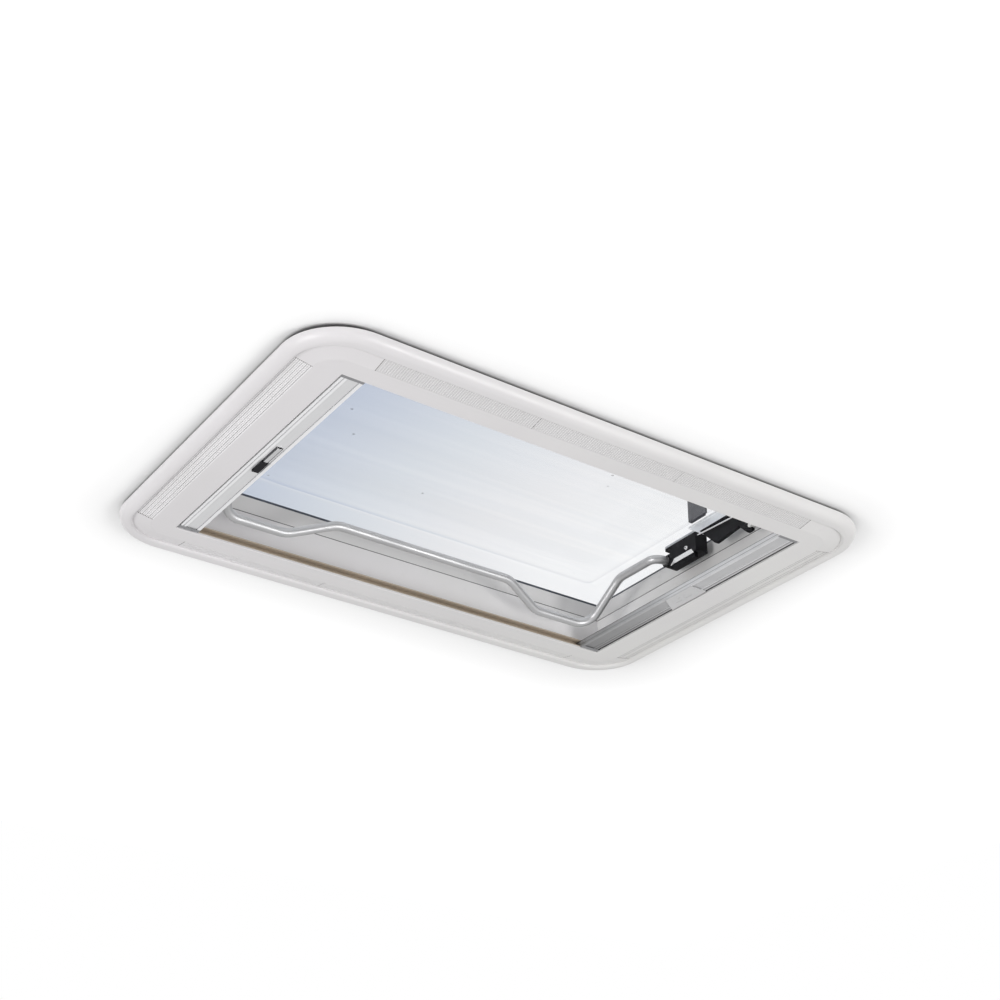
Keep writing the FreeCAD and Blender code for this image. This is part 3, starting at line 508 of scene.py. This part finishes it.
def fitting(name, solids, body, finish):
    """One piece from several small solids, each a function that fills the mesh being built."""
    shape = bmesh.new()
    for solid in solids:
        solid(shape)
    bmesh.ops.recalc_face_normals(shape, faces=shape.faces)
    mesh = bpy.data.meshes.new(name)
    shape.to_mesh(mesh)
    shape.free()
    mesh.materials.append(finishes[finish])
    keep_piece(name, mesh, body)


def bar(low, high):
    """Box between two corners."""
    low = Vector(low) * MM
    high = Vector(high) * MM
    place = Matrix.Translation((low + high) / 2) @ Matrix.Diagonal((*(high - low), 1.0))
    return lambda shape: bmesh.ops.create_cube(shape, size=1.0, matrix=place)


STUD_SIDES = 24


def stud(middle, along, radius, depth, top=1.0):
    """Short round stud; top is the share of the radius left at its far end."""
    turn = Vector(along).to_track_quat("Z", "Y").to_matrix().to_4x4()
    place = Matrix.Translation(Vector(middle) * MM) @ turn
    return lambda shape: bmesh.ops.create_cone(
        shape, cap_ends=True, segments=STUD_SIDES, radius1=radius * MM, radius2=radius * top * MM,
        depth=depth * MM, matrix=place,
    )


def rod(start, end, radius):
    """Round rod between two points."""
    start = Vector(start)
    end = Vector(end)
    return stud((start + end) / 2, end - start, radius, (end - start).length)


def wedge(spots):
    """Convex solid through a set of points."""
    def fill(shape):
        made = [shape.verts.new(Vector(spot) * MM) for spot in spots]
        bmesh.ops.convex_hull(shape, input=made)
    return fill


def corners(node):
    """Corners of a node's box."""
    low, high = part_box(node)
    return low / MM, high / MM


# Sliding bar of the finger latch: a bright bar in a dark slot, beside the black grip
SKIN = 0.3
GRIP_FROM = 3.0
SLIDE_INSET = 1.9
SLIDE_THICK = 2.0
low, high = corners("blind_latch")
latch_slot = bar((low.x, low.y - SKIN, high.z - SKIN), (high.x, GRIP_FROM, high.z))
latch_slide = bar(
    (low.x + SLIDE_INSET, low.y + SKIN, high.z - SLIDE_THICK),
    (high.x - SLIDE_INSET, GRIP_FROM, high.z - SKIN),
)
fitting("latch_slot", [latch_slot], "frame", "slot_dark")
fitting("latch_slide", [latch_slide], "frame", "rail_aluminium")

# Dark seams between the vent strips and the corner caps, a little below their sloping faces
STRIP_RISE = 4.0
SEAM_WIDE = 0.6
SEAM_SUNK = 0.05
SEAM_DEEP = 1.0
X_AXIS = 0
Y_AXIS = 1


def strip_seams(strip, along, across):
    """Seams at both ends of a vent strip that runs along one axis and slopes across the other."""
    low, high = corners(strip)
    foot, rim = sorted((low[across], high[across]), key=abs)
    seams = []
    for end in (low[along] - SEAM_WIDE, high[along]):
        spots = []
        for edge in (end, end + SEAM_WIDE):
            for reach, level in ((foot, SEAM_SUNK), (rim, SEAM_SUNK + STRIP_RISE)):
                for deep in (0.0, SEAM_DEEP):
                    spot = Vector((0.0, 0.0, level + deep))
                    spot[along] = edge
                    spot[across] = reach
                    spots.append(spot)
        seams.append(wedge(spots))
    return seams


seams = []
for side in ("near", "far"):
    seams += strip_seams(f"vent_strip_{side}", X_AXIS, Y_AXIS)
for side in ("left", "right"):
    seams += strip_seams(f"vent_strip_{side}", Y_AXIS, X_AXIS)
fitting("strip_seams", seams, "frame", "seam_brown")

# Dark bars in the joint between the lining and the roof frame: painted shadow filling its groove
WALL_X = 332.0
WALL_Y = 216.0
JOINT_LOW = 56.0
JOINT_HIGH = 57.2
JOINT_DEEP = 1.2
shadow_bars = []
for sign in (-1, 1):
    start, stop = sorted((sign * WALL_Y, sign * (WALL_Y + JOINT_DEEP)))
    shadow_bars.append(bar((-WALL_X, start, JOINT_LOW), (WALL_X, stop, JOINT_HIGH)))
    start, stop = sorted((sign * WALL_X, sign * (WALL_X + JOINT_DEEP)))
    shadow_bars.append(bar((start, -WALL_Y, JOINT_LOW), (stop, WALL_Y, JOINT_HIGH)))
fitting("joint_shadow_bars", shadow_bars, "frame", "joint_shadow_grey")

# Plug in the right wall
PLUG_Y = 95.6
PLUG_Z = 62.5
PLUG_RADIUS = 4.2
PLUG_HIGH = 0.6
PLUG_TOP = 0.75
plug_middle = (WALL_X - PLUG_HIGH / 2, PLUG_Y, PLUG_Z)
plug = stud(plug_middle, (-1.0, 0.0, 0.0), PLUG_RADIUS, PLUG_HIGH, PLUG_TOP)
fitting("wall_plug", [plug], "frame", "frame_white")

# Shoes on the ends of the pull rails
SHOE_LONG = 6.0
SHOE_THICK = 0.5
shoe_end = corners("blind_pleats")[1].y
shoes = []
for name in ("blind_rail", "screen_rail"):
    low, high = corners(name)
    for y in (-shoe_end, shoe_end - SHOE_LONG):
        shoes.append(bar((low.x, y, low.z - SHOE_THICK), (high.x, y + SHOE_LONG, low.z)))
fitting("rail_shoes", shoes, "frame", "shoe_grey")

# Inlays in the two slots of the catch
SLOT_EDGE = 9.0
SLOT_FROM = 4.6
SLOT_TO = 16.2
INLAY_DEEP = 1.4
low, high = corners("screen_catch")
inlays = []
for y in (-SLOT_TO, SLOT_FROM):
    end = y + SLOT_TO - SLOT_FROM
    inlays.append(bar((low.x + SLOT_EDGE, y, high.z - INLAY_DEEP), (high.x - SLOT_EDGE, end, high.z)))
fitting("catch_inlays", inlays, "frame", "catch_grey")

# Screw with a socket in each bow block, a pin in each hook and a bright link beside each lever
SCREW_Y = -20.2
SCREW_Z = 65.2
SCREW_RADIUS = 3.0
SCREW_HIGH = 1.4
SCREW_TOP = 0.7
SOCKET_RADIUS = 1.2
PIN_BACK = 2.0
PIN_UP = 7.0
PIN_RADIUS = 3.0
PIN_LONG = 9.0
LINK_X = 303.0
LINK_FAR = (-41.0, 76.0)
LINK_NEAR = (-116.0, 72.0)
LINK_RADIUS = 1.3
screws = []
sockets = []
pins = []
links = []
for side, sign in (("left", -1), ("right", 1)):
    inward = (-sign, 0.0, 0.0)
    low, high = corners(f"bow_block_{side}")
    face = min(abs(low.x), abs(high.x))
    screw_middle = (sign * (face - SCREW_HIGH / 2), SCREW_Y, SCREW_Z)
    screws.append(stud(screw_middle, inward, SCREW_RADIUS, SCREW_HIGH, SCREW_TOP))
    socket_middle = (sign * (face - SCREW_HIGH), SCREW_Y, SCREW_Z)
    sockets.append(stud(socket_middle, inward, SOCKET_RADIUS, SKIN))
    low, high = corners(f"lever_hook_{side}")
    pin_middle = ((low.x + high.x) / 2, low.y + PIN_BACK, low.z + PIN_UP)
    pins.append(stud(pin_middle, inward, PIN_RADIUS, PIN_LONG))
    links.append(rod((sign * LINK_X, *LINK_FAR), (sign * LINK_X, *LINK_NEAR), LINK_RADIUS))
fitting("block_screws", screws, "lid", "bright_screw")
fitting("lever_links", links, "lid", "bright_screw")
fitting("screw_sockets", sockets, "lid", "slot_dark")
fitting("hook_pins", pins, "lid", "pin_white")


# Cross ribs of the long vent strips, in metres


def socket_id(tree, name):
    """Identifier of a named input of a node group."""
    return next(
        item.identifier for item in tree.interface.items_tree
        if item.name == name and item.in_out == "INPUT"
    )


def grown_piece(name, tree, values, body, finish):
    """Run a geometry group once and keep its mesh as a piece that rides on a body."""
    holder = bpy.data.objects.new(name + "_maker", bpy.data.meshes.new(name + "_seed"))
    scene.collection.objects.link(holder)
    modifier = holder.modifiers.new("grow", "NODES")
    modifier.node_group = tree
    for key, value in values.items():
        modifier[socket_id(tree, key)] = value
    modifier[socket_id(tree, "Finish")] = finishes[finish]
    grown = holder.evaluated_get(bpy.context.evaluated_depsgraph_get())
    mesh = bpy.data.meshes.new_from_object(grown)
    bpy.data.objects.remove(holder)
    mesh.name = name
    keep_piece(name, mesh, body)


def comb_tree():
    """Row of thin bars across a long vent strip, each lying on its sloping underside."""
    tree = bpy.data.node_groups.new("comb_ribs", "GeometryNodeTree")
    tree.is_modifier = True
    for name, kind in (
        ("Count", "NodeSocketInt"), ("Pitch", FLOAT), ("Start", VECTOR), ("Inner", VECTOR),
        ("Outer", VECTOR), ("Rib Wide", FLOAT), ("Rib High", FLOAT), ("Finish", "NodeSocketMaterial"),
    ):
        tree.interface.new_socket(name, in_out="INPUT", socket_type=kind)
    tree.interface.new_socket("Geometry", in_out="OUTPUT", socket_type="NodeSocketGeometry")
    given = add(tree, "NodeGroupInput")
    result = add(tree, "NodeGroupOutput")
    step = add(tree, "ShaderNodeCombineXYZ")
    row = add(tree, "GeometryNodeMeshLine", mode="OFFSET")
    spine = add(tree, "GeometryNodeCurvePrimitiveLine")
    section = add(tree, "GeometryNodeCurvePrimitiveQuadrilateral")
    rib = add(tree, "GeometryNodeCurveToMesh", Fill_Caps=True)
    rows = add(tree, "GeometryNodeInstanceOnPoints")
    whole = add(tree, "GeometryNodeRealizeInstances")
    paint = add(tree, "GeometryNodeSetMaterial")
    for source, target in (
        (given.outputs["Pitch"], step.inputs["X"]),
        (given.outputs["Count"], row.inputs["Count"]),
        (given.outputs["Start"], row.inputs["Start Location"]),
        (step.outputs[0], row.inputs["Offset"]),
        (given.outputs["Inner"], spine.inputs["Start"]),
        (given.outputs["Outer"], spine.inputs["End"]),
        (given.outputs["Rib Wide"], section.inputs["Width"]),
        (given.outputs["Rib High"], section.inputs["Height"]),
        (spine.outputs["Curve"], rib.inputs["Curve"]),
        (section.outputs["Curve"], rib.inputs["Profile Curve"]),
        (row.outputs["Mesh"], rows.inputs["Points"]),
        (rib.outputs["Mesh"], rows.inputs["Instance"]),
        (rows.outputs["Instances"], whole.inputs["Geometry"]),
        (whole.outputs["Geometry"], paint.inputs["Geometry"]),
        (given.outputs["Finish"], paint.inputs["Material"]),
        (paint.outputs["Geometry"], result.inputs["Geometry"]),
    ):
        tree.links.new(source, target)
    return tree


COMB = comb_tree()
RIB_PITCH = 3.0 * MM
RIB_WIDE = 1.3 * MM
RIB_HIGH = 0.5 * MM
RIB_MARGIN = 1.5 * MM
for side, sign in (("near", -1), ("far", 1)):
    low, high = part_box(f"vent_strip_{side}")
    foot, rim = sorted((abs(low.y), abs(high.y)))
    slope = STRIP_RISE * MM / (rim - foot)
    inner = foot + RIB_MARGIN
    outer = rim - RIB_MARGIN
    count = int((high.x - low.x) / RIB_PITCH) - 1
    measures = {
        "Count": count,
        "Pitch": RIB_PITCH,
        "Start": (-(count - 1) * RIB_PITCH / 2, 0.0, 0.0),
        "Inner": (0.0, sign * inner, slope * (inner - foot)),
        "Outer": (0.0, sign * outer, slope * (outer - foot)),
        "Rib Wide": RIB_WIDE,
        "Rib High": RIB_HIGH,
    }
    grown_piece(f"comb_ribs_{side}", COMB, measures, "frame", "strip_white")


# Stage, light and camera

# Camera below the rooflight, looking up across it
CAMERA_PLACE = Vector((-0.9702, -1.4695, -0.9372))
CAMERA_AIM = Vector((-0.0388, -0.0813, 0.0))
CAMERA_ROLL = math.radians(0.74)
CAMERA_LENS = 58.58
CAMERA_SENSOR = 36.0
CAMERA_FAR = 50.0


def add_camera():
    data = bpy.data.cameras.new("camera")
    data.lens = CAMERA_LENS
    data.sensor_width = CAMERA_SENSOR
    data.clip_end = CAMERA_FAR
    camera = bpy.data.objects.new("camera", data)
    scene.collection.objects.link(camera)
    look = (CAMERA_AIM - CAMERA_PLACE).to_track_quat("-Z", "Y").to_matrix().to_4x4()
    camera.matrix_world = Matrix.Translation(CAMERA_PLACE) @ look @ Matrix.Rotation(CAMERA_ROLL, 4, "Z")
    scene.camera = camera


CARD_REACH = 1.5
CARD_ROUGH = 0.9
CEILING_LEVEL = 19.0 * MM
CEILING_HOLE = (0.352, 0.252)
CEILING_WHITE = (0.96, 0.96, 0.96)
FLOOR_LEVEL = -1.0 * MM
FLOOR_HOLE = (1.0 * MM, 1.0 * MM)
FLOOR_WHITE = (0.9, 0.9, 0.9)
# White that the cards add to what the lamps give them, seen by the camera only; it grows away from the trim,
# so the cards stay darker close to it: a painted shadow round the trim
LIFT_AWAY = 0.9
LIFT_REACH = 0.45
TRIM_CORE = (0.320, 0.204, 1.0)
TRIM_CORNER = 0.072
# Painted shadow in the gap between the trim's lip and the ceiling, by the depth behind the trim's outline
GAP_DARK = 8.0 * MM
GAP_LIGHT = 4.0 * MM
GAP_SHADOW_COLOUR = (0.2, 0.2, 0.2)
GAP_CORE = (0.323, 0.204, 1.0)


def trim_distance(tree, core):
    """Distance from the middle line of the trim's rounded corners; TRIM_CORNER is its outline."""
    place = object_place(tree)
    for operation, other in (("ABSOLUTE", None), ("SUBTRACT", core), ("MAXIMUM", (0.0, 0.0, 0.0))):
        step = add(tree, "ShaderNodeVectorMath", operation=operation)
        tree.links.new(place, step.inputs[0])
        if other:
            step.inputs[1].default_value = other
        place = step.outputs["Vector"]
    length = add(tree, "ShaderNodeVectorMath", operation="LENGTH")
    tree.links.new(place, length.inputs[0])
    return length.outputs["Value"]


def one_sided(name, colour, only_seen):
    """Matt white card that shows from one side only.

    Where only seen, it neither throws nor stops light; else it carries a painted shadow in the gap behind the
    trim's lip.
    """
    material, tree, shader = new_material(name)
    shader.inputs["Base Color"].default_value = (*colour, 1.0)
    shader.inputs["Roughness"].default_value = CARD_ROUGH
    shader.inputs["Specular IOR Level"].default_value = 0.0
    shader.inputs["Emission Color"].default_value = WHITE
    seen = add(tree, "ShaderNodeLightPath").outputs["Is Camera Ray"]
    away = trim_distance(tree, TRIM_CORE)
    # Less added white close to the trim: painted shadow round it
    lift = remap(tree, away, (TRIM_CORNER, TRIM_CORNER + LIFT_REACH), (0.0, LIFT_AWAY))
    tree.links.new(math_node(tree, "MULTIPLY", lift, seen), shader.inputs["Emission Strength"])
    hidden = add(tree, "ShaderNodeNewGeometry").outputs["Backfacing"]
    if only_seen:
        hidden = math_node(tree, "MAXIMUM", hidden, math_node(tree, "SUBTRACT", 1.0, seen))
    else:
        # Painted shadow in the gap, dark deep behind the trim's outline
        depth = trim_distance(tree, GAP_CORE)
        edge = remap(tree, depth, (TRIM_CORNER - GAP_DARK, TRIM_CORNER - GAP_LIGHT))
        tree.links.new(mix_colour(tree, edge, GAP_SHADOW_COLOUR, colour), shader.inputs["Base Color"])
    clear = add(tree, "ShaderNodeBsdfTransparent")
    show(tree, mix_shader(tree, hidden, shader.outputs[0], clear.outputs[0]))
    return material


def stage_card(name, level, hole, material, faces_down):
    """Square card round a rectangular hole, facing down or up."""
    spots = []
    for half_x, half_y in ((CARD_REACH, CARD_REACH), hole):
        spots += [(-half_x, -half_y), (half_x, -half_y), (half_x, half_y), (-half_x, half_y)]
    faces = [(i, (i + 1) % 4, 4 + (i + 1) % 4, 4 + i) for i in range(4)]
    if faces_down:
        faces = [tuple(reversed(face)) for face in faces]
    mesh = bpy.data.meshes.new(name)
    mesh.from_pydata([(x, y, level) for x, y in spots], [], faces)
    mesh.materials.append(material)
    card = bpy.data.objects.new(name, mesh)
    scene.collection.objects.link(card)


# Sky beyond the glazing, across the direction (1, SKY_TILT, 0): plain daylight on one side, then a blue-grey
# bank that pales towards the far right
SKY_TILT = 0.9
SKY_FROM = 1.0
SKY_TO = 1.2
SKY = [
    (0.0, (0.85, 0.85, 0.86)),
    (0.15, (0.80, 0.81, 0.83)),
    (0.25, (0.53, 0.58, 0.69)),
    (0.36, (0.60, 0.645, 0.73)),
    (0.53, (0.73, 0.76, 0.80)),
    (0.72, (0.87, 0.87, 0.88)),
    (0.88, (0.97, 0.97, 0.97)),
    (1.0, (1.0, 1.0, 1.0)),
]
STUDIO_LIGHT = 0.60


def add_world():
    """White studio round the object; through the glazing shows a sky that pales from left to right."""
    world = bpy.data.worlds.new("studio")
    scene.world = world
    world.use_nodes = True
    tree = world.node_tree
    studio = tree.nodes["Background"]
    studio.inputs["Color"].default_value = WHITE
    studio.inputs["Strength"].default_value = STUDIO_LIGHT
    direction = add(tree, "ShaderNodeTexCoord").outputs["Generated"]
    tilted = math_node(tree, "MULTIPLY", axis_of(tree, direction, "Y"), SKY_TILT)
    across = math_node(tree, "ADD", axis_of(tree, direction, "X"), tilted)
    tones = ramp(tree, remap(tree, across, (SKY_FROM, SKY_TO)), SKY, "LINEAR")
    sky = add(tree, "ShaderNodeBackground", Strength=1.0)
    tree.links.new(tones, sky.inputs["Color"])
    white = add(tree, "ShaderNodeBackground", Color=WHITE, Strength=1.0)
    path = add(tree, "ShaderNodeLightPath")
    through = mix_shader(tree, path.outputs["Is Transmission Ray"], studio.outputs[0], sky.outputs[0])
    seen = mix_shader(tree, path.outputs["Is Camera Ray"], through, white.outputs[0])
    tree.links.new(seen, tree.nodes["World Output"].inputs["Surface"])


def add_lamp(name, place, side, power):
    """Square lamp that faces the middle of the rooflight."""
    data = bpy.data.lights.new(name, "AREA")
    data.shape = "SQUARE"
    data.size = side
    data.energy = power
    lamp = bpy.data.objects.new(name, data)
    scene.collection.objects.link(lamp)
    lamp.location = place
    lamp.rotation_euler = (-Vector(place)).to_track_quat("-Z", "Y").to_euler()


stage_card("ceiling_card", CEILING_LEVEL, CEILING_HOLE, one_sided("ceiling_card", CEILING_WHITE, False), True)
stage_card("floor_card", FLOOR_LEVEL, FLOOR_HOLE, one_sided("floor_card", FLOOR_WHITE, True), False)
add_camera()
add_world()
add_lamp("key_lamp", place=(0.7, -1.9, -1.25), side=0.8, power=18.0)
add_lamp("fill_lamp", place=(-2.0, -0.2, -1.0), side=0.9, power=17.0)
